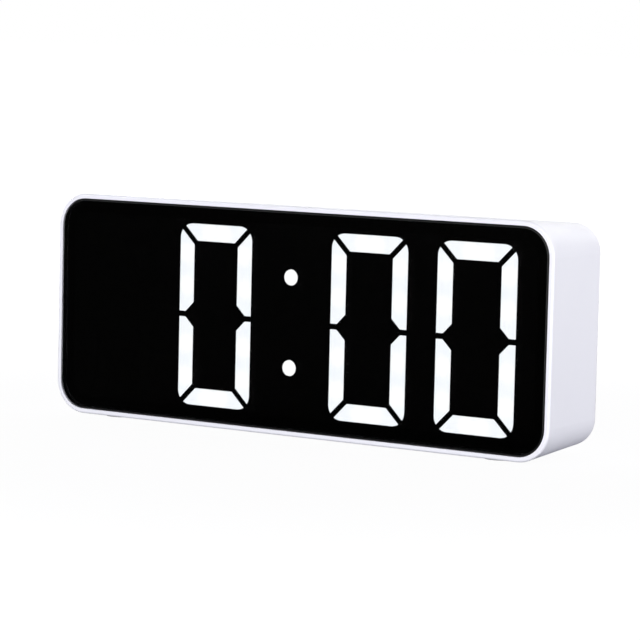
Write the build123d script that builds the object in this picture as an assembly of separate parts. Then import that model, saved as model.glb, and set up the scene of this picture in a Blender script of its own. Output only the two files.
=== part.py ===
"""A table-top LED alarm clock.

Millimetres. +X is to the right and +Y to the back, seen from the front, and +Z is up. The
origin is on the table, under the middle of the clock. Depths are measured from the plane of
the rim, at the front, to the back. The case is as large as its contents need: as wide as the
digits, as tall as the battery door under the row of keys, and as deep as the display, the
wiring and the cells one behind the other.
"""
from build123d import *
from math import sqrt
import os

# ---------------------------------------------------------------- driving dimensions

# Digits: four of seven segments, with a colon
digit_width = 23.9
digit_space = 9.15              # between neighbouring digits
colon_space = 26.0              # between the digits on either side of the colon
stroke = 4.65
segment_gap = 1.6
segment_toe = 2.0               # flat end of an upright segment at the digit's waist
digit_corner_radius = 4.0
dot_radius = 2.15
dot_spacing = 24.6
display_side_margin = 10.05     # from the outer digits to the case's sides
display_end_margin = 6.1        # from the digits to the case's top and bottom
display_shift = -1.3            # the display's middle, right of the case's middle
display_drop = 0.45             # and below it

# Case: a deep tray, open at the front, whose sides lean in to the back
corner_radius = 9.3
back_inset = 1.8                # how far each side has leaned in at the back
back_edge_radius = 2.6
rim_edge_radius = 0.6
wall = 2.0
rim_width = 1.35
inside_corner_radius = 1.0
front_gap = 0.5                 # from the table to the case's front bottom edge

# Lens, held by a ring of tape
lens_thickness = 2.0
lens_bevel = 0.5
tape_thickness = 0.2
tape_width = 2.6
tape_inset = 0.3                # from the display frame's edge

# Display frame: the light wells, with a diffuser at the front of each
frame_plate = 1.2
frame_depth = 6.0
frame_wall = 1.0
frame_skirt = 1.7               # how far the frame's edge passes the back of its board
diffuser_thickness = 1.2
diffuser_shoulder = 0.5         # step in the light well that a diffuser rests on
seat_rib_thickness = 1.2
seat_rib_height = 1.4
seat_rib_inset = 16.0           # of the outer ribs, from the case's sides
seat_rib_pitch = 16.0
seat_rib_z = 12.0

# Display board and what is on it
board_thickness = 1.6
led_width = 2.8
led_length = 3.5
led_height = 0.8
upright_led_spacing = 9.0       # between the two behind an upright segment
flat_led_spacing = 4.5          # and behind a flat one
dot_led_width = 1.25
dot_led_length = 2.0
chip_x = 14.0
circuit_z = -7.0
chip_length = 10.4
chip_width = 7.4
chip_height = 2.2
chip_lift = 0.2
chip_legs = 8
chip_pitch = 1.27
chip_leg_width = 0.4
chip_leg_height = 1.3
chip_reach = 1.3
crystal_length = 10.0
crystal_width = 4.4
crystal_height = 3.4

# Case screws: through the back wall into the frame's posts
case_screw_end_inset = 12.2     # from the case's top and bottom
case_screw_radius = 1.25
case_screw_length = 10.0
case_screw_head_radius = 2.5
case_screw_head_height = 1.8
screw_well_depth = 6.0
boss_length = 8.0               # from the back wall to where it meets the frame's post
boss_wall = 1.3
post_radius = 3.0
pilot_spare = 0.6               # how much deeper a screw's hole is than the screw

# Small screws, for the boards
small_screw_radius = 0.85
small_screw_length = 5.0
small_screw_head_radius = 1.7
small_screw_head_height = 1.1
small_post_radius = 2.0
board_screw_inset = 4.5         # of the middle four, from the digits beside the colon
board_screw_end_inset = 6.1     # and from the digits' top and bottom
board_screw_side_inset = 2.5    # of the outer two, from the board's sides
cross_width = 0.25              # arm of a screw's cross recess, as a share of the head's radius
crown_share = 0.35              # share of a head's height that is chamfered

# Keys: a row of five, in a shallow recess of the back
key_count = 5
key_pitch = 14.0
key_length = 8.0
key_height = 5.0
key_travel = 0.4
key_recess = 1.2
key_recess_margin = 2.4
key_end_margin = 5.3            # from the recess to the case's top
key_stand = 1.0                 # how far a key stands above the floor of the recess
key_flange = 0.8
key_flange_thickness = 1.0
key_stem_radius = 1.5
key_stem_length = 1.3
key_edge_radius = 0.5

# Key board and its switches
small_board_thickness = 1.2
key_board_margin = 7.0          # beyond the middles of the outer keys
key_board_edge = 2.3            # beyond the middles of its screws
key_post_z = 3.9                # above and below the row, between the keys
switch_size = 6.0
switch_height = 3.5
plunger_radius = 1.6
plunger_stand = 0.8             # how far a plunger stands out of its switch
plunger_sunk = 1.2              # and how far it reaches into it

# Battery compartment: AAA cells, one above the other
cell_radius = 5.25
cell_length = 44.5
cell_nub_radius = 1.9
cell_nub_length = 0.8
cell_edge = 0.5
cell_count = 3
cell_gap = 0.4
cradle_depth = 1.6              # how far the cells sink into their cradles
well_wall = 1.5
wiring_room = 6.1               # between the display board and the compartment
contact_space = 2.9             # at each end of the cells
contact_sheet = 0.4
contact_height = 7.0
leaf_toe = 2.3                  # how far a contact's leaf reaches past the cell's middle
tail_stand = 1.5                # how far a contact's tongue stands out of the compartment
tail_width = 2.4

# Battery door, with two tabs below, and a spring latch and finger grooves above
door_thickness = 1.8
door_overlap = 1.5              # the ledge it rests on
door_corner_radius = 2.0
door_end_margin = 6.4           # from the door to the case's bottom
door_rib_height = 0.8
door_rib_thickness = 1.0
door_rib_inset = 11.5
grip_count = 3
grip_length = 12.0
grip_width = 0.8
grip_pitch = 1.7
grip_depth = 0.4
grip_inset = 2.6                # from the door's top to the first groove
tab_width = 6.0
tab_length = 1.8
tab_thickness = 1.0
tab_skin = 1.2                  # thickness of the case over the tabs
tab_slot_depth = 3.6
tab_gap = 0.1
tab_spacing = 30.0
latch_width = 10.0
latch_reach = 3.6
latch_depth = 4.6
latch_thickness = 1.0
latch_sunk = 0.5                # its tip, under the back of the case
latch_land = 1.2                # between the latch's bay and the keys' recess

# Power inlet, on its own small board
side_unit_inset = 23.0          # the inlet and the buzzer, from the case's sides
side_unit_z = -8.0
inlet_width = 8.94
inlet_height = 3.26
inlet_sheet = 0.3
inlet_length = 9.6
inlet_dish = 2.0                # how far the shallow dish round the inlet spreads
inlet_dish_depth = 0.8
tongue_width = 6.7
tongue_thickness = 0.7
tongue_length = 6.0
usb_board_size = 20.0

# Buzzer and its sound slots
buzzer_radius = 6.0
buzzer_height = 6.5
buzzer_port_radius = 1.2
buzzer_port_depth = 2.0
holder_height = 5.0
holder_wall = 1.0
sound_patch_radius = 6.8
slot_count = 5
slot_pitch = 2.6
slot_width = 1.2

# Wiring
lead_thickness = 0.8
lead_bend = 1.6
lead_run = 12.0
short_lead_run = 6.0
ribbon_width = 7.6
pair_width = 2.4

# Feet
foot_radius = 4.0
foot_side_inset = 18.0
foot_end_inset = 6.5            # from the front and the back

# Clearances
fit = 0.05
lens_clearance = 0.1
frame_clearance = 0.15
board_clearance = 0.4
screw_clearance = 0.2
key_clearance = 0.2
plunger_clearance = 0.08
door_clearance = 0.25
cell_clearance = 0.15
buzzer_clearance = 0.15
plane_tolerance = 0.01          # for telling which edges lie in a plane

# ---------------------------------------------------------------- overall sizes

groove_radius = cell_radius + cell_clearance
cell_spacing = 2 * cell_radius + cell_gap
well_length = cell_length + 2 * contact_space
well_height = (cell_count - 1) * cell_spacing + 2 * groove_radius
door_length = well_length + 2 * door_overlap
door_height = well_height + 2 * door_overlap
latch_bay_height = latch_reach + 2 * door_clearance
recess_height = key_height + 2 * key_recess_margin

digit_pitch = digit_width + digit_space
colon_pitch = digit_width + colon_space
case_width = colon_pitch + 2 * digit_pitch + digit_width + 2 * display_side_margin
case_height = (door_end_margin + door_height + latch_bay_height + latch_land
               + recess_height + key_end_margin)
digit_height = case_height - 2 * display_end_margin

frame_front = lens_thickness + tape_thickness
plate_back = frame_front + frame_plate
board_front = frame_front + frame_depth
board_back = board_front + board_thickness
skirt_end = board_back + frame_skirt
well_front = board_back + wiring_room
cell_depth = well_front + well_wall + groove_radius
well_floor = cell_depth - groove_radius + cradle_depth
door_inside = cell_depth + groove_radius
case_depth = door_inside + door_thickness
back_inside = case_depth - wall

front_y = -case_depth / 2
middle_z = front_gap + case_height / 2

# ---------------------------------------------------------------- places on the back

door_bottom = door_end_margin - case_height / 2
door_top = door_bottom + door_height
well_z = (door_bottom + door_top) / 2
cell_zs = [well_z + (row - (cell_count - 1) / 2) * cell_spacing for row in range(cell_count)]
key_row_z = case_height / 2 - key_end_margin - recess_height / 2
key_xs = [(n - (key_count - 1) / 2) * key_pitch for n in range(key_count)]
side_unit_x = case_width / 2 - side_unit_inset
inlet_x = -side_unit_x
buzzer_x = side_unit_x

case_screw_x = (colon_pitch + digit_pitch) / 2
case_screw_z = case_height / 2 - case_screw_end_inset
case_screw_places = [(x, z) for x in (-case_screw_x, case_screw_x)
                     for z in (-case_screw_z, case_screw_z)]
case_screw_seat = case_depth - screw_well_depth
case_screw_tip = case_screw_seat - case_screw_length
post_end = back_inside - boss_length

key_floor = case_depth - key_recess             # floor of the recess the keys stand in
key_wall_inside = key_floor - wall
key_flange_front = key_wall_inside - key_flange_thickness
plunger_tip = key_flange_front - key_stem_length
switch_face = plunger_tip - plunger_stand
key_board_back = switch_face - switch_height
key_board_front = key_board_back - small_board_thickness
key_post_xs = [(key_xs[0] + key_xs[1]) / 2, (key_xs[-2] + key_xs[-1]) / 2]
key_posts = [(x, key_row_z + dz) for x in key_post_xs for dz in (-key_post_z, key_post_z)]

inlet_mouth = case_depth - inlet_dish_depth - door_clearance
usb_board_back = inlet_mouth - inlet_length
usb_board_front = usb_board_back - small_board_thickness
usb_post_offset = usb_board_size / 2 - small_post_radius - board_clearance
usb_posts = [(inlet_x + step, side_unit_z + step) for step in (-usb_post_offset, usb_post_offset)]
buzzer_front = back_inside - buzzer_height

# ---------------------------------------------------------------- drawing and saving


def seen_from_front(depth):
    """A plane parallel to the rim, at a depth behind it: its x is +X and its y is +Z."""
    return Plane(origin=(0, front_y + depth, middle_z), x_dir=(1, 0, 0), z_dir=(0, -1, 0))


def slab(shapes, start, end):
    """A flat shape, or several, made solid between two depths."""
    drawing = Sketch() + shapes
    return extrude(seen_from_front(start) * drawing, amount=end - start, dir=(0, 1, 0))


def outline(depth, inset):
    """The case's outline at a depth, drawn in by an inset."""
    shrink = back_inset * depth / case_depth + inset
    return RectangleRounded(case_width - 2 * shrink, case_height - 2 * shrink,
                            corner_radius - shrink)


def leaning_block(start, end, inset):
    """The case's form between two depths, drawn in by an inset."""
    return loft([seen_from_front(depth) * outline(depth, inset) for depth in (start, end)],
                ruled=True)


def disc(x, z, radius):
    return Pos(x, z) * Circle(radius)


def discs(places, radius):
    return [disc(x, z, radius) for x, z in places]


def block(x, z, width, height):
    return Pos(x, z) * Rectangle(width, height)


def pill(x, z, length, height, grow=0.0):
    return Pos(x, z) * SlotOverall(length + 2 * grow, height + 2 * grow)


def group(shapes):
    """Separate solids of one kind, kept together in one node."""
    return Compound([solid for shape in shapes for solid in shape.solids()])


def edges_at(part, depth):
    """The edges that lie in the plane at a depth."""
    y = front_y + depth
    return part.edges().filter_by_position(Axis.Y, y - plane_tolerance, y + plane_tolerance)


os.makedirs("parts", exist_ok=True)


def save(name, part):
    export_step(part, f"parts/{name}.step")


# ---------------------------------------------------------------- segments of the digits

mitre = segment_gap / sqrt(2)
digit_side = digit_width / 2
digit_top = digit_height / 2
digit_outline = RectangleRounded(digit_width, digit_height, digit_corner_radius)
digit_xs = [-colon_pitch / 2 - digit_pitch, -colon_pitch / 2,
            colon_pitch / 2, colon_pitch / 2 + digit_pitch]
dot_zs = [dot_spacing / 2, -dot_spacing / 2]


def flat_bar():
    """The segment along the top of a digit, mitred at both ends."""
    outer = digit_side - mitre
    inner = outer - stroke
    bar = make_face(Polyline((-outer, digit_top), (outer, digit_top),
                             (inner, digit_top - stroke), (-inner, digit_top - stroke),
                             close=True))
    return bar & digit_outline


def upright_bar():
    """The segment at the upper left, mitred at the top and chamfered at the digit's waist."""
    outer = -digit_side
    inner = outer + stroke
    waist = segment_gap / 2
    bar = make_face(Polyline((outer, waist), (outer + segment_toe, waist),
                             (inner, waist + stroke - segment_toe),
                             (inner, digit_top - mitre - stroke),
                             (outer, digit_top - mitre), close=True))
    return bar & digit_outline


def middle_bar():
    """The segment across the waist, pointed at both ends."""
    end = digit_side - segment_toe - segment_gap * (sqrt(2) - 0.5)
    inner = end - stroke / 2
    return make_face(Polyline((-end, 0), (-inner, stroke / 2), (inner, stroke / 2),
                              (end, 0), (inner, -stroke / 2), (-inner, -stroke / 2), close=True))


def grown(bar, change):
    return offset(bar, change, kind=Kind.INTERSECTION) if change else bar


def digit_ring(change=0.0):
    """The six outer segments of a digit, each grown or shrunk by the same amount."""
    flat = grown(flat_bar(), change)
    upright = grown(upright_bar(), change)
    left = [upright, upright.mirror(Plane.XZ)]
    return [flat, flat.mirror(Plane.XZ)] + left + [bar.mirror(Plane.YZ) for bar in left]


def on_display(x, z):
    """Moves a shape to a place measured from the display's middle."""
    return Pos(x + display_shift, z - display_drop)


def all_segments(change=0.0):
    """Every segment of the display and its dots, in one drawing."""
    digit = digit_ring(change) + [grown(middle_bar(), change)]
    bars = [on_display(x, 0) * bar for x in digit_xs for bar in digit]
    return bars + [on_display(0, z) * Circle(dot_radius + change) for z in dot_zs]


def diffusers(shapes):
    return group(slab(shape, frame_front, frame_front + diffuser_thickness) for shape in shapes)


digit_names = ["hour_tens_segments", "hour_units_segments",
               "minute_tens_segments", "minute_units_segments"]
for name, x in zip(digit_names, digit_xs):
    save(name, diffusers(on_display(x, 0) * bar for bar in digit_ring()))
save("middle_segments", diffusers(on_display(x, 0) * middle_bar() for x in digit_xs))
save("colon_dots", diffusers(on_display(0, z) * Circle(dot_radius) for z in dot_zs))

# ---------------------------------------------------------------- lens and tape

lens = slab(outline(0, rim_width + lens_clearance), 0, lens_thickness)
save("front_lens", chamfer(edges_at(lens, 0), lens_bevel))

frame_inset = wall + frame_clearance
tape_edge = frame_inset + tape_inset
tape_ring = outline(frame_front, tape_edge) - outline(frame_front, tape_edge + tape_width)
save("lens_tape", slab(tape_ring, lens_thickness, frame_front))

# ---------------------------------------------------------------- display frame and board

board_inset = frame_inset + frame_wall + board_clearance
board_edge_x = case_width / 2 - back_inset * board_back / case_depth - board_inset
board_screw_x = colon_space / 2 - board_screw_inset
board_screw_z = digit_top - board_screw_end_inset
board_screw_places = [(x, z) for x in (-board_screw_x, board_screw_x)
                      for z in (-board_screw_z, board_screw_z)]
board_screw_places += [(side * (board_edge_x - board_screw_side_inset), 0) for side in (-1, 1)]
small_pilot = small_screw_radius + fit


def display_frame():
    """A plate with a skirt, a light well behind each segment, and posts for the screws."""
    frame = leaning_block(frame_front, skirt_end, frame_inset)
    frame -= leaning_block(plate_back, skirt_end, frame_inset + frame_wall)
    frame += slab(all_segments(frame_wall), plate_back, board_front)
    frame += slab(discs(case_screw_places, post_radius), plate_back, post_end)
    frame += slab(discs(board_screw_places, small_post_radius), plate_back, board_front)
    frame -= slab(all_segments(fit), frame_front, frame_front + diffuser_thickness)
    frame -= slab(all_segments(-diffuser_shoulder), frame_front, board_front)
    frame -= slab(discs(case_screw_places, case_screw_radius + fit),
                  case_screw_tip - pilot_spare, post_end)
    return frame - slab(discs(board_screw_places, small_pilot),
                        board_back - small_screw_length - pilot_spare, board_front)


def display_board():
    holes = discs(case_screw_places, post_radius + board_clearance)
    holes += discs(board_screw_places, small_screw_radius + screw_clearance)
    return slab(outline(board_back, board_inset) - holes, board_front, board_back)


def led(x, z, width, height):
    return slab(on_display(x, z) * Rectangle(width, height), board_front - led_height, board_front)


def digit_leds(x):
    """Two behind each of a digit's seven segments."""
    flat_z = digit_top - stroke / 2
    upright_x = digit_side - stroke / 2
    upright_z = (digit_top - mitre + segment_gap / 2) / 2
    flat = [(x + side * flat_led_spacing / 2, z) for z in (-flat_z, 0, flat_z) for side in (-1, 1)]
    upright = [(x + dx, z + end * upright_led_spacing / 2) for dx in (-upright_x, upright_x)
               for z in (-upright_z, upright_z) for end in (-1, 1)]
    return ([led(*place, led_length, led_width) for place in flat]
            + [led(*place, led_width, led_length) for place in upright])


leds = [one for x in digit_xs for one in digit_leds(x)]
leds += [led(0, z, dot_led_length, dot_led_width) for z in dot_zs]
save("display_frame", display_frame())
save("display_board", display_board())
save("segment_leds", group(leds))


def chip(x, z):
    """A flat chip with legs along both of its long sides."""
    body = slab(block(x, z, chip_length, chip_width), board_back + chip_lift,
                board_back + chip_lift + chip_height)
    leg_xs = [x + (n - (chip_legs - 1) / 2) * chip_pitch for n in range(chip_legs)]
    legs = [block(leg_x, z + side * (chip_width + chip_reach) / 2, chip_leg_width, chip_reach)
            for leg_x in leg_xs for side in (-1, 1)]
    return body + slab(legs, board_back, board_back + chip_leg_height)


save("display_chips", group([chip(-chip_x, circuit_z), chip(chip_x, circuit_z)]))
save("crystal", slab(pill(0, circuit_z, crystal_length, crystal_width),
                     board_back, board_back + crystal_height))

# ---------------------------------------------------------------- case

latch_bay_floor = case_depth - latch_depth - latch_thickness
tab_xs = [-tab_spacing / 2, tab_spacing / 2]
recess_length = key_xs[-1] - key_xs[0] + key_length + 2 * key_recess_margin


def door_shape(grow=0.0):
    return Pos(0, well_z) * RectangleRounded(door_length + 2 * grow, door_height + 2 * grow,
                                             door_corner_radius + grow)


def latch_bay(grow=0.0):
    """The bay above the compartment that the door's latch springs into."""
    low = door_top - door_overlap - fit
    high = door_top + latch_bay_height + grow
    return block(0, (low + high) / 2, latch_width + 2 * (door_clearance + grow), high - low)


def well_shape(grow=0.0):
    return block(0, well_z, well_length + 2 * grow, well_height + 2 * grow)


def tray():
    """The case's walls and back, with a thin rim that takes the lens flush."""
    case = leaning_block(0, case_depth, 0)
    case = fillet(edges_at(case, case_depth), back_edge_radius)
    case = fillet(edges_at(case, 0), rim_edge_radius)
    cavity = leaning_block(lens_thickness, back_inside, wall)
    case -= fillet(edges_at(cavity, back_inside), inside_corner_radius)
    return case - slab(outline(0, rim_width), 0, lens_thickness)


def seat_ribs():
    """Ribs along the side walls that the display frame's edge rests on."""
    lining = leaning_block(skirt_end, back_inside, wall)
    lining -= leaning_block(skirt_end, back_inside, wall + seat_rib_height)
    outer_x = case_width / 2 - seat_rib_inset
    xs = [side * x for x in (outer_x, outer_x - seat_rib_pitch) for side in (-1, 1)]
    strips = [block(x, 0, seat_rib_thickness, case_height) for x in xs]
    strips += [block(0, side * seat_rib_z, case_width, seat_rib_thickness) for side in (-1, 1)]
    return lining & slab(strips, skirt_end, back_inside)


def bosses():
    """Posts and bosses that stand on the inside of the back wall."""
    boss_radius = case_screw_head_radius + screw_clearance + boss_wall
    made = slab(discs(case_screw_places, boss_radius), post_end, back_inside)
    made += slab(discs(key_posts, small_post_radius), key_board_back, back_inside)
    made += slab(discs(usb_posts, small_post_radius), usb_board_back, back_inside)
    inner = buzzer_radius + buzzer_clearance
    ring = disc(buzzer_x, side_unit_z, inner + holder_wall) - disc(buzzer_x, side_unit_z, inner)
    return made + slab(ring, back_inside - holder_height, back_inside)


def inner_walls():
    """Walls round the key recess, the power inlet, the battery compartment and its latch."""
    recess = pill(0, key_row_z, recess_length, recess_height, boss_wall)
    made = slab(recess, key_wall_inside, back_inside)
    dish = pill(inlet_x, side_unit_z, inlet_width, inlet_height, inlet_dish + boss_wall)
    made += slab(dish, back_inside - inlet_dish_depth, back_inside)
    made += slab(well_shape(well_wall), well_front, back_inside)
    made += slab(door_shape(boss_wall), door_inside - wall, back_inside)
    return made + slab(latch_bay(boss_wall), latch_bay_floor - well_wall, back_inside)


def compartment():
    """The room for the cells, their door, its latch and its tabs."""
    made = slab(well_shape(), well_floor, case_depth)
    for z in cell_zs:
        groove = Plane(origin=(0, front_y + cell_depth, middle_z + z), z_dir=(1, 0, 0))
        made += extrude(groove * Circle(groove_radius), amount=well_length / 2, both=True)
    made += slab(door_shape(door_clearance), door_inside, case_depth)
    made += slab(latch_bay(), latch_bay_floor, case_depth)
    high = door_bottom + door_overlap
    low = door_bottom - tab_length - door_clearance
    slots = [block(x, (low + high) / 2, tab_width + 2 * door_clearance, high - low)
             for x in tab_xs]
    return made + slab(slots, case_depth - tab_slot_depth, case_depth - tab_skin)


def back_openings():
    """The key recess with its five holes, the inlet with its dish, and the sound slots."""
    made = slab(pill(0, key_row_z, recess_length, recess_height), key_floor, case_depth)
    made += slab([pill(x, key_row_z, key_length, key_height, key_clearance) for x in key_xs],
                 key_wall_inside, key_floor)
    made += slab(pill(inlet_x, side_unit_z, inlet_width, inlet_height, inlet_dish),
                 case_depth - inlet_dish_depth, case_depth)
    made += slab(pill(inlet_x, side_unit_z, inlet_width, inlet_height, key_clearance),
                 back_inside - inlet_dish_depth, case_depth)
    slots = []
    for n in range(slot_count):
        away = (n - (slot_count - 1) / 2) * slot_pitch
        length = 2 * sqrt(sound_patch_radius ** 2 - away ** 2)
        slots.append(Pos(buzzer_x + away, side_unit_z) * SlotOverall(length, slot_width, rotation=90))
    return made + slab(slots, back_inside, case_depth)


def screw_holes():
    """Wells and through holes for the case screws, and pilot holes for the small ones."""
    made = slab(discs(case_screw_places, case_screw_head_radius + screw_clearance),
                case_screw_seat, case_depth)
    made += slab(discs(case_screw_places, case_screw_radius + screw_clearance),
                 post_end, case_screw_seat)
    pilot = small_screw_length - small_board_thickness + pilot_spare
    made += slab(discs(key_posts, small_pilot), key_board_back, key_board_back + pilot)
    return made + slab(discs(usb_posts, small_pilot), usb_board_back, usb_board_back + pilot)


def case_shell():
    case = tray() + bosses() + seat_ribs() + inner_walls()
    case = case - compartment() - back_openings() - screw_holes()
    for side in (-1, 1):
        case -= contact_tail(side, fit)
    return case


# ---------------------------------------------------------------- battery compartment

contact_x = (well_length - contact_sheet) / 2


def contact_row(side):
    """The row whose contact has a tongue: the lowest on the right, the highest on the left."""
    return cell_zs[0] if side > 0 else cell_zs[-1]


def contact_tail(side, grow=0.0):
    """The tongue of an end contact that passes through the compartment's floor."""
    return slab(block(side * contact_x, contact_row(side), contact_sheet + 2 * grow,
                      tail_width + 2 * grow),
                well_front - tail_stand, well_floor + contact_sheet)


def contact_leaf(side, row_z):
    """A leaf that bends out from the end wall to touch the cell."""
    touch_x = cell_length / 2 + fit + contact_sheet / 2
    top = cell_depth + contact_height / 2
    path = Polyline((side * contact_x, top - contact_sheet), (side * touch_x, cell_depth),
                    (side * (touch_x + contact_sheet), cell_depth - leaf_toe))
    from_below = Plane(origin=(0, front_y, middle_z + row_z - contact_height / 2),
                       x_dir=(1, 0, 0), z_dir=(0, 0, 1))
    return extrude(from_below * trace(path, contact_sheet), amount=contact_height)


def contact(side, rows, with_tail):
    """A sheet against the end wall with a leaf for each cell that it serves."""
    low = rows[0] - contact_height / 2
    high = rows[-1] + contact_height / 2
    made = slab(block(side * contact_x, (low + high) / 2, contact_sheet, high - low),
                well_floor, cell_depth + contact_height / 2)
    for row in rows:
        made += contact_leaf(side, row)
    return made + contact_tail(side) if with_tail else made


def cell(z, turn):
    """An AAA cell lying along X, its nub towards +X or, turned, towards -X."""
    body = cell_length - cell_nub_length
    lying = Plane(origin=(-turn * cell_length / 2, front_y + cell_depth, middle_z + z),
                  z_dir=(turn, 0, 0))
    can = extrude(lying * Circle(cell_radius), amount=body)
    can = chamfer(can.edges(), cell_edge)
    return can + extrude(lying.offset(body) * Circle(cell_nub_radius), amount=cell_nub_length)


def spring_latch():
    """A strip that leaves the door's edge inwards, turns back and ends in a finger grip."""
    inner = door_top - latch_thickness / 2
    outer = inner + latch_reach
    bend = (outer - inner) / 2
    turn_depth = case_depth - latch_depth + bend
    path = [Line((inner, door_inside + fit), (inner, turn_depth)),
            ThreePointArc((inner, turn_depth), (inner + bend, turn_depth - bend),
                          (outer, turn_depth)),
            Line((outer, turn_depth), (outer, case_depth - latch_sunk))]
    from_side = Plane(origin=(latch_width / 2, front_y, middle_z), x_dir=(0, 0, 1),
                      z_dir=(-1, 0, 0))
    return extrude(from_side * trace(Curve() + path, latch_thickness), amount=latch_width)


def finger_grooves():
    return slab([pill(0, door_top - grip_inset - n * grip_pitch, grip_length, grip_width)
                 for n in range(grip_count)], case_depth - grip_depth, case_depth)


def battery_door():
    door = slab(door_shape(), door_inside, case_depth) - finger_grooves()
    ribs = [block(0, (low + high) / 2, door_length - 2 * door_rib_inset, door_rib_thickness)
            for low, high in zip(cell_zs, cell_zs[1:])]
    door += slab(ribs, door_inside - door_rib_height, door_inside)
    tab_face = case_depth - tab_skin - tab_gap
    tabs = [block(x, door_bottom + (door_overlap - tab_length) / 2, tab_width,
                  tab_length + door_overlap) for x in tab_xs]
    door += slab(tabs, tab_face - tab_thickness, tab_face)
    return door + spring_latch()


save("case_shell", case_shell())
save("battery_door", battery_door())
save("batteries", group(cell(z, 1 if row % 2 else -1) for row, z in enumerate(cell_zs)))
save("battery_contacts", group([contact(1, cell_zs[:1], True), contact(1, cell_zs[1:], False),
                                contact(-1, cell_zs[:-1], False), contact(-1, cell_zs[-1:], True)]))

# ---------------------------------------------------------------- keys and their board


def key(x):
    """A pill-shaped cap with a flange behind the wall and a stem down to its switch."""
    top = key_floor + key_stand
    cap = slab(pill(x, key_row_z, key_length, key_height), key_flange_front, top)
    cap = fillet(edges_at(cap, top), key_edge_radius)
    cap += slab(pill(x, key_row_z, key_length, key_height, key_flange),
                key_flange_front, key_wall_inside)
    return cap + slab(disc(x, key_row_z, key_stem_radius), plunger_tip, key_flange_front)


def plunger(x):
    return slab(disc(x, key_row_z, plunger_radius), switch_face - plunger_sunk, plunger_tip)


def key_switch(x):
    bore_end = switch_face - plunger_sunk - key_travel - fit
    body = slab(block(x, key_row_z, switch_size, switch_size), key_board_back, switch_face)
    return body - slab(disc(x, key_row_z, plunger_radius + plunger_clearance), bore_end, switch_face)


def key_board():
    length = key_xs[-1] - key_xs[0] + 2 * key_board_margin
    shape = block(0, key_row_z, length, 2 * (key_post_z + key_board_edge))
    shape -= discs(key_posts, small_screw_radius + screw_clearance)
    return slab(shape, key_board_front, key_board_back)


key_names = ["light", "down", "up", "alarm", "set"]
for name, x in zip(key_names, key_xs):
    save(f"{name}_button", key(x))
    save(f"{name}_plunger", plunger(x))
save("key_switches", group(key_switch(x) for x in key_xs))
save("key_board", key_board())

# ---------------------------------------------------------------- power inlet and buzzer


def usb_board():
    shape = block(inlet_x, side_unit_z, usb_board_size, usb_board_size)
    shape -= discs(usb_posts, small_screw_radius + screw_clearance)
    return slab(shape, usb_board_front, usb_board_back)


def inlet_shape(grow=0.0):
    return pill(inlet_x, side_unit_z, inlet_width, inlet_height, grow)


def usb_tongue():
    base = slab(inlet_shape(-inlet_sheet), usb_board_back, inlet_mouth - tongue_length)
    return base + slab(block(inlet_x, side_unit_z, tongue_width, tongue_thickness),
                       usb_board_back, inlet_mouth - inlet_dish_depth)


def buzzer():
    can = slab(disc(buzzer_x, side_unit_z, buzzer_radius), buzzer_front, back_inside)
    can = chamfer(edges_at(can, buzzer_front), cell_edge)
    return can - slab(disc(buzzer_x, side_unit_z, buzzer_port_radius),
                      back_inside - buzzer_port_depth, back_inside)


save("usb_board", usb_board())
save("usb_socket", slab(inlet_shape() - inlet_shape(-inlet_sheet), usb_board_back, inlet_mouth))
save("usb_tongue", usb_tongue())
save("buzzer", buzzer())

# ---------------------------------------------------------------- wiring


def lead(x, start, end_x, z, width):
    """A flat lead that steps from a depth at x to the back of the display board at end_x."""
    level = (start + board_back) / 2
    route = FilletPolyline((x, start), (x, level), (end_x, level), (end_x, board_back),
                           radius=lead_bend)
    from_below = Plane(origin=(0, front_y, middle_z + z - width / 2), x_dir=(1, 0, 0),
                       z_dir=(0, 0, 1))
    return extrude(from_below * trace(route, lead_thickness), amount=width)


def battery_lead(side):
    return lead(side * contact_x, well_front - tail_stand,
                side * (contact_x - short_lead_run), contact_row(side), pair_width)


save("key_ribbon", lead(key_xs[1], key_board_front, key_xs[-2], key_row_z, ribbon_width))
save("power_lead", lead(inlet_x, usb_board_front, inlet_x + lead_run, side_unit_z, pair_width))
save("buzzer_lead", lead(buzzer_x, buzzer_front, buzzer_x - lead_run, side_unit_z, pair_width))
save("battery_leads", group(battery_lead(side) for side in (-1, 1)))

# ---------------------------------------------------------------- screws


def screw(x, z, seat, tip, radius, head_radius, head_height):
    """A pan-head screw with a cross recess, its head standing off the seat away from the tip."""
    away = 1 if seat > tip else -1
    crown = seat + away * head_height
    recess = crown - away * head_height / 2
    head = slab(disc(x, z, head_radius), *sorted((seat, crown)))
    head = chamfer(edges_at(head, crown), head_height * crown_share)
    arm = head_radius * cross_width
    cross = block(x, z, head_radius, arm) + block(x, z, arm, head_radius)
    head -= slab(cross, *sorted((recess, crown)))
    return head + slab(disc(x, z, radius), *sorted((seat, tip)))


def case_screw(x, z):
    return screw(x, z, case_screw_seat, case_screw_tip, case_screw_radius,
                 case_screw_head_radius, case_screw_head_height)


def small_screw(x, z, seat, tip):
    return screw(x, z, seat, tip, small_screw_radius, small_screw_head_radius,
                 small_screw_head_height)


small = [small_screw(x, z, key_board_front, key_board_front + small_screw_length)
         for x, z in key_posts]
small += [small_screw(x, z, usb_board_front, usb_board_front + small_screw_length)
          for x, z in usb_posts]
save("case_screws", group(case_screw(x, z) for x, z in case_screw_places))
save("board_screws", group(small_screw(x, z, board_back, board_back - small_screw_length)
                           for x, z in board_screw_places))
save("small_board_screws", group(small))

# ---------------------------------------------------------------- feet

foot_height = front_gap + back_inset + wall
foot_x = case_width / 2 - foot_side_inset
foot_y = case_depth / 2 - foot_end_inset
feet = [Pos(side * foot_x, end * foot_y, foot_height / 2) * Cylinder(foot_radius, foot_height)
        for side in (-1, 1) for end in (-1, 1)]
solid_case = leaning_block(0, case_depth, 0)
save("rubber_feet", group(foot - solid_case for foot in feet))
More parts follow.
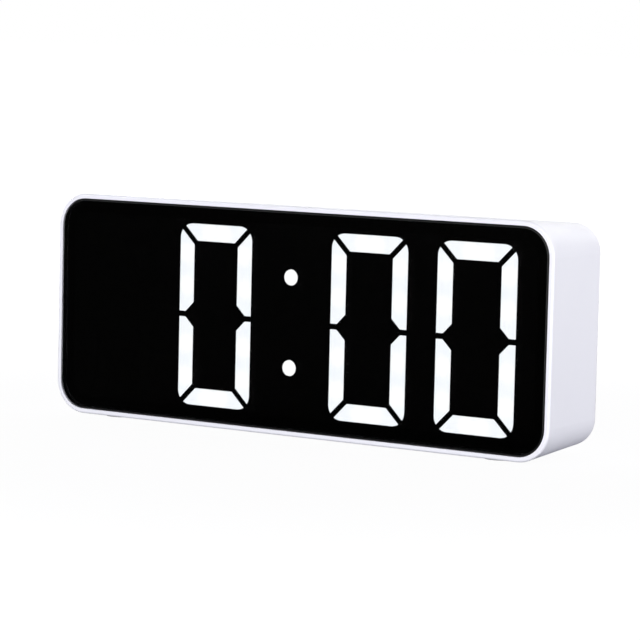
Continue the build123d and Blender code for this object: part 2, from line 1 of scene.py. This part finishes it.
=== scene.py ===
"""Finish, light and camera for the alarm clock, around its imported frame. Metres, as in the frame."""
from math import cos, pi, radians, sin
import bmesh
import bpy
from mathutils import Matrix, Vector


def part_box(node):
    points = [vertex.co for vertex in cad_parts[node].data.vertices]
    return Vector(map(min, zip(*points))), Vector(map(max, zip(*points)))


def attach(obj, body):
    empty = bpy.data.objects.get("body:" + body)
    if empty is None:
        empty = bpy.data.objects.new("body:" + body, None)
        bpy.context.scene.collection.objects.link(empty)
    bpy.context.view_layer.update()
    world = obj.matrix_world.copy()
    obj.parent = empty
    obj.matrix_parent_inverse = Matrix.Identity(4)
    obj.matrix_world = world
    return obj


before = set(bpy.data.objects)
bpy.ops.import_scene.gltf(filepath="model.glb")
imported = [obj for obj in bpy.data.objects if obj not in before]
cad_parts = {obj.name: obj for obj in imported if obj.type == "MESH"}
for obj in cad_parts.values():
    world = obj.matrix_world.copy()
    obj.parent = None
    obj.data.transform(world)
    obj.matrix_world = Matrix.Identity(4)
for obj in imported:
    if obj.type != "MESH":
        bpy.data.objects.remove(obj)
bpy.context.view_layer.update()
scene = bpy.context.scene

# ---------------------------------------------------------------- named values

MM = 0.001

# Camera, round the middle of the lens's face
CAMERA_AZIMUTH = 33.32
CAMERA_ELEVATION = 5.55
CAMERA_ROLL = 1.33
CAMERA_DISTANCE = 782.2 * MM
CAMERA_AIM_RIGHT = 7.8 * MM
CAMERA_AIM_UP = 0.51 * MM
CAMERA_LENS = 163.24            # millimetres, on a sensor 36 wide
SENSOR_WIDTH = 36.0
CAMERA_CLIP_START = 39.11 * MM
CAMERA_CLIP_END = 80.0

# Light: levels are what a white surface facing the light would show of it
WORLD_LEVEL = 0.16
WORLD_TINT = (0.965, 0.97, 1.0, 1.0)
LAMP_DISTANCE = 1.3
FLOOR_COLOUR = (0.28, 0.28, 0.32, 1.0)
FLOOR_SIZE = 40.0
FLOOR_GLOW = 1.13               # shown level of the white ground, away from the clock's shadow
SHADOW_SHARE = 0.15             # how much of the light's own shading the floor shows at the clock
SHADOW_START = 0.1              # where that begins to fade, from the clock's middle
SHADOW_END = 0.45

# Softboxes: azimuth and elevation in degrees, width and height in metres, and the light's level
SOFTBOXES = {
    "front_softbox": (5, 8, 1.2, 0.34, 0.96),
    "right_softbox": (90, 12, 1.0, 0.5, 0.68),
    "back_softbox": (198, 28, 1.9, 0.5, 0.4),
    "left_softbox": (-120, 12, 1.0, 0.4, 0.7),
}

# Lens, and the black card that it reflects
LENS_TINT = 0.15
POLISH_SIZE = 4 * MM
POLISH_LOW = 0.012              # roughness of the polish, which is faintly uneven
POLISH_HIGH = 0.025
EDGE_PAINT = 0.004
EDGE_ROUGHNESS = 0.5
PAINT_END = 0.9                 # how squarely a surface faces the front, up to 1, where its paint ends
CLEAR_START = 0.98              # and where it is clear
CARD_SIZE = 3.0
CARD_LIFT = 1 * MM

# Display: places of the diodes, across and up from a digit's middle in millimetres
DIGIT_DIODES = ((2.25, 22.8), (9.6, 8.0), (9.6, 17.0), (2.25, 0.0))
DIODE_GLOW = 4.2 * MM
LIT_STRENGTH = 7.4
LIT_FALL = 0.93                 # level far from the diodes, as a share of the level over them

# Moulded surfaces and metal
NOISE_LOW = 0.3                 # most of a noise texture's values lie between these
NOISE_HIGH = 0.7
TONE_SIZE = 30 * MM             # patches of slightly different tone, and of different gloss
TONE_SHARE = 0.88               # the darker tone, as a share of the paler one
GLOSS_SIZE = 6 * MM
GLOSS_CHANGE = 0.05
METAL_TONE_SIZE = 5 * MM
METAL_TONE_SHARE = 0.85
METAL_LINE_SIZE = 0.6 * MM
METAL_SMOOTHER = 0.08
METAL_ROUGHER = 0.1

# Cells and chips: where one finish gives way to another, and within what distance
CELL_RADIUS = 5.25 * MM
COPPER_START = 8 * MM
WRAP_END = 21.4 * MM
CELL_BLUR = 0.1 * MM
CHIP_HALF = 3.75 * MM
CHIP_BLUR = 0.05 * MM

# Printed icons on the keys
INK_PROUD = 0.05 * MM
INK_SUNK = 0.03 * MM
ROUND_SIDES = 32

# Plated contacts on the power inlet's tongue, in millimetres
CONTACT_COUNT = 6
CONTACT_PITCH = 0.9
CONTACT_WIDTH = 0.45
CONTACT_START = 0.4
CONTACT_LENGTH = 3.6
CONTACT_PROUD = 0.02


def colour(red, green, blue):
    return (red, green, blue, 1.0)


def grey(level):
    return colour(level, level, level)


# ---------------------------------------------------------------- node and material helpers


def feed(node, name, value):
    """Give an input a value or another node's output: its name has _ for a space, or is i and a number."""
    by_number = name[0] == "i" and name[1:].isdigit()
    socket = node.inputs[int(name[1:]) if by_number else name.replace("_", " ")]
    if isinstance(value, bpy.types.NodeSocket):
        node.id_data.links.new(value, socket)
    else:
        socket.default_value = value


def add_node(tree, kind, settings=None, **inputs):
    node = tree.nodes.new("ShaderNode" + kind)
    for name, value in (settings or {}).items():
        setattr(node, name, value)
    for name, value in inputs.items():
        feed(node, name, value)
    return node


class Finish:
    """A material being built: a Principled shader and the nodes that feed it."""

    def __init__(self, name, base, roughness):
        self.material = bpy.data.materials.new(name)
        self.material.use_nodes = True
        self.tree = self.material.node_tree
        self.shader = self.tree.nodes["Principled BSDF"]
        self.output = self.tree.nodes["Material Output"]
        coordinates = self.add("TexCoord").outputs
        self.place = coordinates["Object"]
        self.facing = coordinates["Normal"]
        self.set(Base_Color=base, Roughness=roughness)

    def add(self, kind, settings=None, **inputs):
        return add_node(self.tree, kind, settings, **inputs)

    def set(self, **inputs):
        """Give the shader's own inputs values or other nodes' outputs."""
        for name, value in inputs.items():
            feed(self.shader, name, value)

    def set_tint(self, tint):
        self.tint = tint
        self.set(Base_Color=tint)

    def math(self, operation, *values):
        inputs = {f"i{n}": value for n, value in enumerate(values)}
        return self.add("Math", {"operation": operation}, **inputs).outputs["Value"]

    def vector_math(self, operation, *values):
        inputs = {f"i{n}": value for n, value in enumerate(values)}
        node = self.add("VectorMath", {"operation": operation}, **inputs)
        return node.outputs["Value" if operation in ("DISTANCE", "LENGTH") else "Vector"]

    def apart(self, vector=None):
        """The X, Y and Z of a vector, or of the place."""
        return self.add("SeparateXYZ", Vector=vector or self.place).outputs

    def from_front(self, vector=None):
        """A vector, or the place, as seen from the front: across and up."""
        parts = self.apart(vector)
        return self.add("CombineXYZ", X=parts["X"], Y=parts["Z"]).outputs["Vector"]

    def off_middle(self, low, high):
        """How far a place is above or below the middle of a box with these corners."""
        return self.math("ABSOLUTE", self.math("SUBTRACT", self.apart()["Z"], (low.z + high.z) / 2))

    def noise(self, size, detail=2.0, at=None):
        """Grain whose features are about this size, in metres."""
        node = self.add("TexNoise", Vector=at or self.place, Scale=1.0 / size, Detail=detail)
        return node.outputs["Fac"]

    def mapped(self, value, start, end, low, high, curve):
        node = self.add("MapRange", {"interpolation_type": curve}, Value=value,
                        From_Min=start, From_Max=end, To_Min=low, To_Max=high)
        return node.outputs["Result"]

    def spread(self, noise, low, high):
        """A noise's values spread from low to high."""
        return self.mapped(noise, NOISE_LOW, NOISE_HIGH, low, high, "LINEAR")

    def between(self, value, start, end, low, high):
        """Low up to the start, high from the end, and a smooth change between them."""
        return self.mapped(value, start, end, low, high, "SMOOTHSTEP")

    def past(self, value, edge, blur, low=0.0, high=1.0):
        """Low before the edge and high past it."""
        return self.between(value, edge, edge + blur, low, high)

    def ramp(self, factor, low, high, start=NOISE_LOW, end=NOISE_HIGH):
        """One colour up to the start, another from the end, and a blend between them."""
        node = self.add("ValToRGB", Fac=factor)
        for element, at, tint in zip(node.color_ramp.elements, (start, end), (low, high)):
            element.position = at
            element.color = tint
        return node.outputs["Color"]

    def blend_tint(self, factor, other):
        """The colour so far, and another where the factor is 1."""
        node = self.add("Mix", {"data_type": "RGBA"}, Factor=factor)
        first, second = [socket for socket in node.inputs if socket.type == "RGBA"]
        self.tree.links.new(self.tint, first)
        second.default_value = other
        self.set_tint([socket for socket in node.outputs if socket.type == "RGBA"][0])

    def bump(self, height, depth):
        """Relief of this depth, in metres, from a height of 0 to 1."""
        self.set(Normal=self.add("Bump", Height=height, Distance=depth).outputs["Normal"])


def shade_of(base, share):
    return colour(*[share * part for part in base[:3]])


def moulded(name, base, shade, roughness, grain, depth):
    """Moulded plastic: a fine spark-eroded grain, with slight changes of tone and gloss."""
    finish = Finish(name, base, roughness)
    finish.set_tint(finish.ramp(finish.noise(TONE_SIZE, 3.0), shade, base))
    gloss = finish.noise(GLOSS_SIZE)
    finish.set(Roughness=finish.spread(gloss, roughness - GLOSS_CHANGE, roughness + GLOSS_CHANGE))
    finish.bump(finish.noise(grain), depth)
    return finish


def plain(name, base, roughness, grain=0.5 * MM, depth=0.005 * MM):
    """A finish with a fine grain and slight changes of tone."""
    return moulded(name, base, shade_of(base, TONE_SHARE), roughness, grain, depth)


def black_behind_lens(name, base, roughness, grain):
    """Black that stays black under the lens: matt, with next to no gloss of its own."""
    finish = plain(name, base, roughness, grain)
    finish.set(Specular_IOR_Level=0.05)
    return finish


def smoked_acrylic():
    """Dark polished acrylic, faintly uneven in its polish, with black paint on its bevel and edge."""
    finish = Finish("smoked_lens", grey(LENS_TINT), 0.02)
    finish.set(Transmission_Weight=1.0, IOR=1.49, Specular_IOR_Level=0.2)
    squarely = finish.math("ABSOLUTE", finish.apart(finish.facing)["Y"])
    clear = finish.between(squarely, PAINT_END, CLEAR_START, 0.0, 1.0)
    finish.set_tint(finish.ramp(clear, grey(EDGE_PAINT), grey(LENS_TINT), 0.0, 1.0))
    polish = finish.spread(finish.noise(POLISH_SIZE), POLISH_LOW, POLISH_HIGH)
    painted = finish.between(clear, 0.0, 1.0, EDGE_ROUGHNESS, 0.0)
    finish.set(Roughness=finish.math("MAXIMUM", polish, painted))
    return finish


def lit_diffuser(name, middle, diodes):
    """A milky diffuser, warm and brightest over each diode behind it and cooler between them."""
    finish = Finish(name, grey(0.8), 0.5)
    folded = finish.vector_math("ABSOLUTE", finish.vector_math("SUBTRACT", finish.place, middle))
    flat = finish.from_front(folded)
    away = [finish.vector_math("DISTANCE", flat, (across * MM, up * MM, 0.0)) for across, up in diodes]
    nearest = away[0]
    for other in away[1:]:
        nearest = finish.math("MINIMUM", nearest, other)
    near = finish.between(nearest, 0.0, DIODE_GLOW, 1.0, 0.0)
    finish.set_tint(finish.ramp(finish.noise(2 * MM), colour(0.91, 0.955, 1.0), colour(0.94, 0.97, 1.0)))
    finish.blend_tint(near, colour(1.0, 0.985, 0.955))
    level = finish.between(near, 0.0, 1.0, LIT_STRENGTH * LIT_FALL, LIT_STRENGTH)
    finish.set(Emission_Color=finish.tint, Emission_Strength=level)
    return finish


def circuit_board():
    """Green lacquer over fibreglass: copper tracks show through it as paler lines."""
    finish = plain("circuit_board", colour(0.012, 0.1, 0.035), 0.35)
    tracks = finish.add("TexBrick", {"offset": 0.35, "squash": 0.6, "squash_frequency": 3},
                        Vector=finish.from_front(), Scale=1.0, Color1=grey(0.0), Color2=grey(0.0),
                        Mortar=grey(1.0), Mortar_Size=0.2 * MM, Mortar_Smooth=0.3,
                        Brick_Width=9 * MM, Row_Height=1.6 * MM)
    finish.blend_tint(tracks.outputs["Color"], colour(0.05, 0.24, 0.09))
    return finish


def cell_wrap():
    """Shrink sleeve: dark, with a copper band towards each cell's nub and bare steel at the ends."""
    finish = plain("cell_wrap", colour(0.022, 0.024, 0.028), 0.28, grain=1.5 * MM, depth=0.01 * MM)
    along = finish.apart()["X"]
    turn = finish.past(finish.off_middle(*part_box("batteries")), CELL_RADIUS, CELL_BLUR, 1.0, -1.0)
    band = finish.past(finish.math("MULTIPLY", along, turn), COPPER_START, CELL_BLUR)
    finish.blend_tint(band, colour(0.55, 0.24, 0.1))
    bare = finish.past(finish.math("ABSOLUTE", along), WRAP_END, CELL_BLUR)
    finish.blend_tint(bare, grey(0.6))
    finish.set(Metallic=bare)
    return finish


def chip_black():
    """Moulded epoxy, with the tinned legs beyond its long sides."""
    finish = plain("chip_black", grey(0.016), 0.45, grain=0.15 * MM, depth=0.01 * MM)
    leg = finish.past(finish.off_middle(*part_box("display_chips")), CHIP_HALF, CHIP_BLUR)
    finish.blend_tint(leg, grey(0.65))
    finish.set(Metallic=leg)
    return finish


def metal(name, base, roughness):
    """Sheet or turned metal, with fine lines of drawing and rolling in its gloss."""
    finish = Finish(name, base, roughness)
    stretched = finish.add("Mapping", Vector=finish.place, Scale=(1.0, 8.0, 1.0)).outputs["Vector"]
    lines = finish.noise(METAL_LINE_SIZE, 3.0, at=stretched)
    finish.set_tint(finish.ramp(finish.noise(METAL_TONE_SIZE), shade_of(base, METAL_TONE_SHARE), base))
    gloss = finish.spread(lines, roughness - METAL_SMOOTHER, roughness + METAL_ROUGHER)
    finish.set(Metallic=1.0, Roughness=gloss)
    finish.bump(lines, 0.003 * MM)
    return finish


def flat_lead():
    """Flat insulated lead: parallel cores show as shallow ridges."""
    finish = plain("lead_sleeve", grey(0.5), 0.45)
    cores = finish.add("TexWave", {"bands_direction": "DIAGONAL"}, Vector=finish.from_front(),
                       Scale=0.16 / MM)
    finish.bump(cores.outputs["Fac"], 0.05 * MM)
    return finish


def foam():
    """Closed-cell foam tape: small pores in a matt black."""
    finish = black_behind_lens("tape", grey(0.006), 0.8, 0.3 * MM)
    pores = finish.add("TexVoronoi", Vector=finish.place, Scale=2.5 / MM)
    finish.bump(pores.outputs["Distance"], 0.04 * MM)
    return finish


# ---------------------------------------------------------------- finishes on the frame's nodes

WHITE = colour(0.84, 0.84, 0.91)
white = moulded("white_case", WHITE, colour(0.825, 0.825, 0.895), 0.42, 0.25 * MM, 0.006 * MM)
key_white = moulded("white_key", WHITE, colour(0.82, 0.82, 0.885), 0.3, 0.4 * MM, 0.003 * MM)
black = black_behind_lens("black_frame", grey(0.006), 0.6, 0.3 * MM)
# Painted shade: the unlit segments are the same milky diffusers as the lit ones, coloured near-black to stand
# in for the darkness behind the smoked lens.
dark = black_behind_lens("dark_diffuser", grey(0.007), 0.5, 0.2 * MM)
board = circuit_board()
bright = metal("bright_metal", colour(0.72, 0.7, 0.66), 0.25)
zinc = metal("zinc_screw", colour(0.6, 0.6, 0.58), 0.33)
gold = metal("contact_gold", colour(0.83, 0.6, 0.27), 0.22)
sleeve = flat_lead()
moulded_black = plain("buzzer_black", grey(0.02), 0.5)
dark_stem = plain("dark_plunger", grey(0.03), 0.5)
ink = plain("key_ink", grey(0.09), 0.5, grain=0.1 * MM)
resin = plain("led_body", colour(0.85, 0.78, 0.42), 0.35, grain=0.2 * MM)
rubber = plain("grey_rubber", grey(0.55), 0.65, grain=0.3 * MM, depth=0.02 * MM)

FINISHES = {
    "case_shell": white, "battery_door": white, "front_lens": smoked_acrylic(),
    "lens_tape": foam(), "display_frame": black, "hour_tens_segments": dark,
    "middle_segments": dark, "display_board": board, "key_board": board, "usb_board": board,
    "segment_leds": resin, "display_chips": chip_black(), "crystal": bright,
    "key_switches": moulded_black, "usb_socket": bright, "usb_tongue": moulded_black,
    "buzzer": moulded_black, "key_ribbon": sleeve, "power_lead": sleeve, "buzzer_lead": sleeve,
    "battery_leads": sleeve, "batteries": cell_wrap(), "battery_contacts": bright,
    "case_screws": zinc, "board_screws": zinc, "small_board_screws": zinc, "rubber_feet": rubber,
}
for key in ("light", "down", "up", "alarm", "set"):
    FINISHES[f"{key}_button"] = key_white
    FINISHES[f"{key}_plunger"] = dark_stem
for digit in ("hour_units_segments", "minute_tens_segments", "minute_units_segments"):
    low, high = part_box(digit)
    FINISHES[digit] = lit_diffuser(f"lit_{digit}", (low + high) / 2, DIGIT_DIODES)
low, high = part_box("colon_dots")
dot_radius = (high.x - low.x) / 2
dot_height = ((high.z - low.z) / 2 - dot_radius) / MM
FINISHES["colon_dots"] = lit_diffuser("lit_colon_dots", (low + high) / 2, [(0.0, dot_height)])

for name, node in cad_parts.items():
    node.data.materials.clear()
    node.data.materials.append(FINISHES[name].material)

# ---------------------------------------------------------------- icons and contacts


def ring_of(radius):
    """The corners of a round outline, in millimetres."""
    angles = [2 * pi * n / ROUND_SIDES for n in range(ROUND_SIDES)]
    return [(radius * cos(a), radius * sin(a)) for a in angles]


def arc(radius, start, end, step, lift):
    """Points of an arc about a middle that is lifted by so much, in degrees and millimetres."""
    angles = [radians(a) for a in range(start, end + 1, step)]
    return [(radius * cos(a), lift + radius * sin(a)) for a in angles]


def turned(corners, degrees):
    a = radians(degrees)
    return [(x * cos(a) - y * sin(a), x * sin(a) + y * cos(a)) for x, y in corners]


def oblong(left, bottom, right, top):
    return [(left, bottom), (right, bottom), (right, top), (left, top)]


def sun_icon():
    ray = oblong(-0.14, 0.95, 0.14, 1.5)
    return [(ring_of(0.62), None)] + [(turned(ray, 45 * n), None) for n in range(8)]


def arrow_icon(way):
    return [([(-1.25 * way, -0.75 * way), (1.25 * way, -0.75 * way), (0.0, 1.05 * way)], None)]


def bell_icon():
    skirt = [(-0.9, -0.35), (-1.25, -0.8), (1.25, -0.8), (0.9, -0.35)]
    return [(arc(0.85, 0, 180, 15, 0.35) + skirt, None), (arc(0.36, 180, 360, 20, -1.0), None)]


def clock_icon():
    face = (ring_of(1.45), ring_of(1.12))
    return [face, (oblong(-0.13, -0.13, 0.13, 0.85), None), (oblong(-0.7, -0.13, -0.13, 0.13), None)]


def prisms(shapes, place):
    """Closed solids of flat shapes in millimetres, each an outline and a hole of as many corners, or None."""
    corners = []
    faces = []
    for outline, hole in shapes:
        count = len(outline)
        loops = [outline, hole] if hole else [outline]
        above = count * len(loops)
        start = len(corners)
        corners += [place(x * MM, y * MM, depth) for depth in (0, 1) for loop in loops for x, y in loop]
        for n in range(count):
            a, b = start + n, start + (n + 1) % count
            faces.append((a, b, b + above, a + above))
            if hole:
                c, d = a + count, b + count
                faces.append((c, d, d + above, c + above))
                faces += [tuple(corner + level for corner in (a, b, d, c)) for level in (0, above)]
        if not hole:
            faces += [tuple(range(start, start + count)), tuple(range(start + count, start + 2 * count))]
    return corners, faces


def add_piece(name, corners, faces, finish, body):
    mesh = bpy.data.meshes.new(name)
    mesh.from_pydata(corners, [], faces)
    shape = bmesh.new()
    shape.from_mesh(mesh)
    bmesh.ops.recalc_face_normals(shape, faces=shape.faces)
    shape.to_mesh(mesh)
    shape.free()
    mesh.materials.append(finish.material)
    piece = bpy.data.objects.new(name, mesh)
    scene.collection.objects.link(piece)
    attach(piece, body)


def add_icon(key, shapes):
    """Ink on the back of a key's cap, upright for someone who looks at the back."""
    low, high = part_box(f"{key}_button")
    middle = (low + high) / 2

    def place(x, y, depth):
        return (middle.x + x, high.y + (INK_PROUD if depth else -INK_SUNK), middle.z + y)
    add_piece(f"{key}_icon", *prisms(shapes, place), ink, f"{key}_key")


def add_contacts():
    """Gold strips on both faces of the power inlet's tongue."""
    low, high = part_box("usb_tongue")
    centres = [(n - (CONTACT_COUNT - 1) / 2) * CONTACT_PITCH for n in range(CONTACT_COUNT)]
    half = CONTACT_WIDTH / 2
    strips = [(oblong(x - half, -CONTACT_START - CONTACT_LENGTH, x + half, -CONTACT_START), None)
              for x in centres]
    corners = []
    faces = []
    for level in (low.z, high.z):
        def place(x, y, depth):
            return ((low.x + high.x) / 2 + x, high.y + y, level + (2 * depth - 1) * CONTACT_PROUD * MM)
        more, sides = prisms(strips, place)
        faces += [tuple(len(corners) + corner for corner in side) for side in sides]
        corners += more
    add_piece("usb_contacts", corners, faces, gold, "clock")


add_icon("light", sun_icon())
add_icon("down", arrow_icon(-1))
add_icon("up", arrow_icon(1))
add_icon("alarm", bell_icon())
add_icon("set", clock_icon())
add_contacts()

# ---------------------------------------------------------------- floor, world, lamps and camera


def seen_rays(tree):
    """Factors that are 1 for what the camera sees, and for what it sees or metal and glass show."""
    path = add_node(tree, "LightPath").outputs
    camera = path["Is Camera Ray"]
    shown = camera
    for ray in ("Is Glossy Ray", "Is Transmission Ray"):
        shown = add_node(tree, "Math", {"operation": "MAXIMUM"}, i0=shown, i1=path[ray]).outputs["Value"]
    return camera, shown


def make_world():
    """A soft light from all round, which is seen as white."""
    world = bpy.data.worlds.new("studio")
    scene.world = world
    world.use_nodes = True
    tree = world.node_tree
    tree.nodes.clear()
    light = add_node(tree, "Background", Color=WORLD_TINT, Strength=WORLD_LEVEL)
    white_wall = add_node(tree, "Background", Color=grey(1.0))
    _, shown = seen_rays(tree)
    mix = add_node(tree, "MixShader", i0=shown, i1=light.outputs[0], i2=white_wall.outputs[0])
    add_node(tree, "OutputWorld", Surface=mix.outputs[0])


def add_sheet(name, low, high, height, finish):
    """A level rectangle between two corners."""
    mesh = bpy.data.meshes.new(name)
    mesh.from_pydata([(x, y, height) for x, y in oblong(*low, *high)], [], [(0, 1, 2, 3)])
    mesh.materials.append(finish.material)
    sheet = bpy.data.objects.new(name, mesh)
    scene.collection.objects.link(sheet)
    return sheet


def make_floor():
    """Ground that is seen as white, and that shows the light's own shading near the clock."""
    finish = Finish("floor", FLOOR_COLOUR, 0.9)
    finish.set(Specular_IOR_Level=0.0)
    camera, shown = seen_rays(finish.tree)
    at_clock = finish.math("MULTIPLY", camera, 1 - SHADOW_SHARE)
    from_clock = finish.vector_math("LENGTH", finish.place)
    share = finish.between(from_clock, SHADOW_START, SHADOW_END, at_clock, shown)
    glow = finish.add("Emission", Color=grey(1.0), Strength=FLOOR_GLOW)
    mix = finish.add("MixShader", i0=share, i1=finish.shader.outputs[0], i2=glow.outputs[0])
    feed(finish.output, "Surface", mix.outputs[0])
    half = FLOOR_SIZE / 2
    floor = add_sheet("floor", (-half, -half), (half, half), 0.0, finish)


def make_black_card():
    """A black card on the floor in front, which only reflections show: it keeps the lens dark."""
    finish = Finish("black_card", grey(0.03), 1.0)
    finish.set(Specular_IOR_Level=0.0)
    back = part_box("front_lens")[0].y - CARD_LIFT
    low = (-CARD_SIZE, back - CARD_SIZE)
    card = add_sheet("black_card", low, (CARD_SIZE, back), CARD_LIFT, finish)
    for ray in ("camera", "diffuse", "volume_scatter", "shadow"):
        setattr(card, f"visible_{ray}", False)


def direction(azimuth, elevation):
    """From the clock to a place round it: azimuth 0 is in front and 90 to its right."""
    a, e = radians(azimuth), radians(elevation)
    return Vector((sin(a) * cos(e), -cos(a) * cos(e), sin(e)))


def softbox(name, azimuth, elevation, width, height, level):
    """A lamp that faces the clock and shows on a white surface that faces it as this level."""
    lamp = bpy.data.lights.new(name, "AREA")
    lamp.shape = "RECTANGLE"
    lamp.size = width
    lamp.size_y = height
    lamp.energy = level * pi ** 2 * LAMP_DISTANCE ** 2
    holder = bpy.data.objects.new(name, lamp)
    scene.collection.objects.link(holder)
    towards = direction(azimuth, elevation)
    holder.location = towards * LAMP_DISTANCE
    holder.rotation_mode = "QUATERNION"
    holder.rotation_quaternion = (-towards).to_track_quat("-Z", "Y")


def make_camera():
    """A camera that looks from round the middle of the lens's face, moved a little aside and rolled."""
    low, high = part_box("front_lens")
    middle = Vector(((low.x + high.x) / 2, low.y, (low.z + high.z) / 2))
    away = direction(CAMERA_AZIMUTH, CAMERA_ELEVATION)
    turn = (-away).to_track_quat("-Z", "Y").to_matrix().to_4x4()
    turn = turn @ Matrix.Rotation(radians(CAMERA_ROLL), 4, "Z")
    right = turn.col[0].xyz
    up = turn.col[1].xyz
    data = bpy.data.cameras.new("camera")
    data.lens = CAMERA_LENS
    data.sensor_width = SENSOR_WIDTH
    data.clip_start = CAMERA_CLIP_START
    data.clip_end = CAMERA_CLIP_END
    camera = bpy.data.objects.new("camera", data)
    place = middle + CAMERA_AIM_RIGHT * right + CAMERA_AIM_UP * up + CAMERA_DISTANCE * away
    camera.matrix_world = Matrix.Translation(place) @ turn
    scene.collection.objects.link(camera)
    scene.camera = camera


make_world()
make_floor()
make_black_card()
for name, values in SOFTBOXES.items():
    softbox(name, *values)
make_camera()
scene.view_settings.view_transform = "Standard"
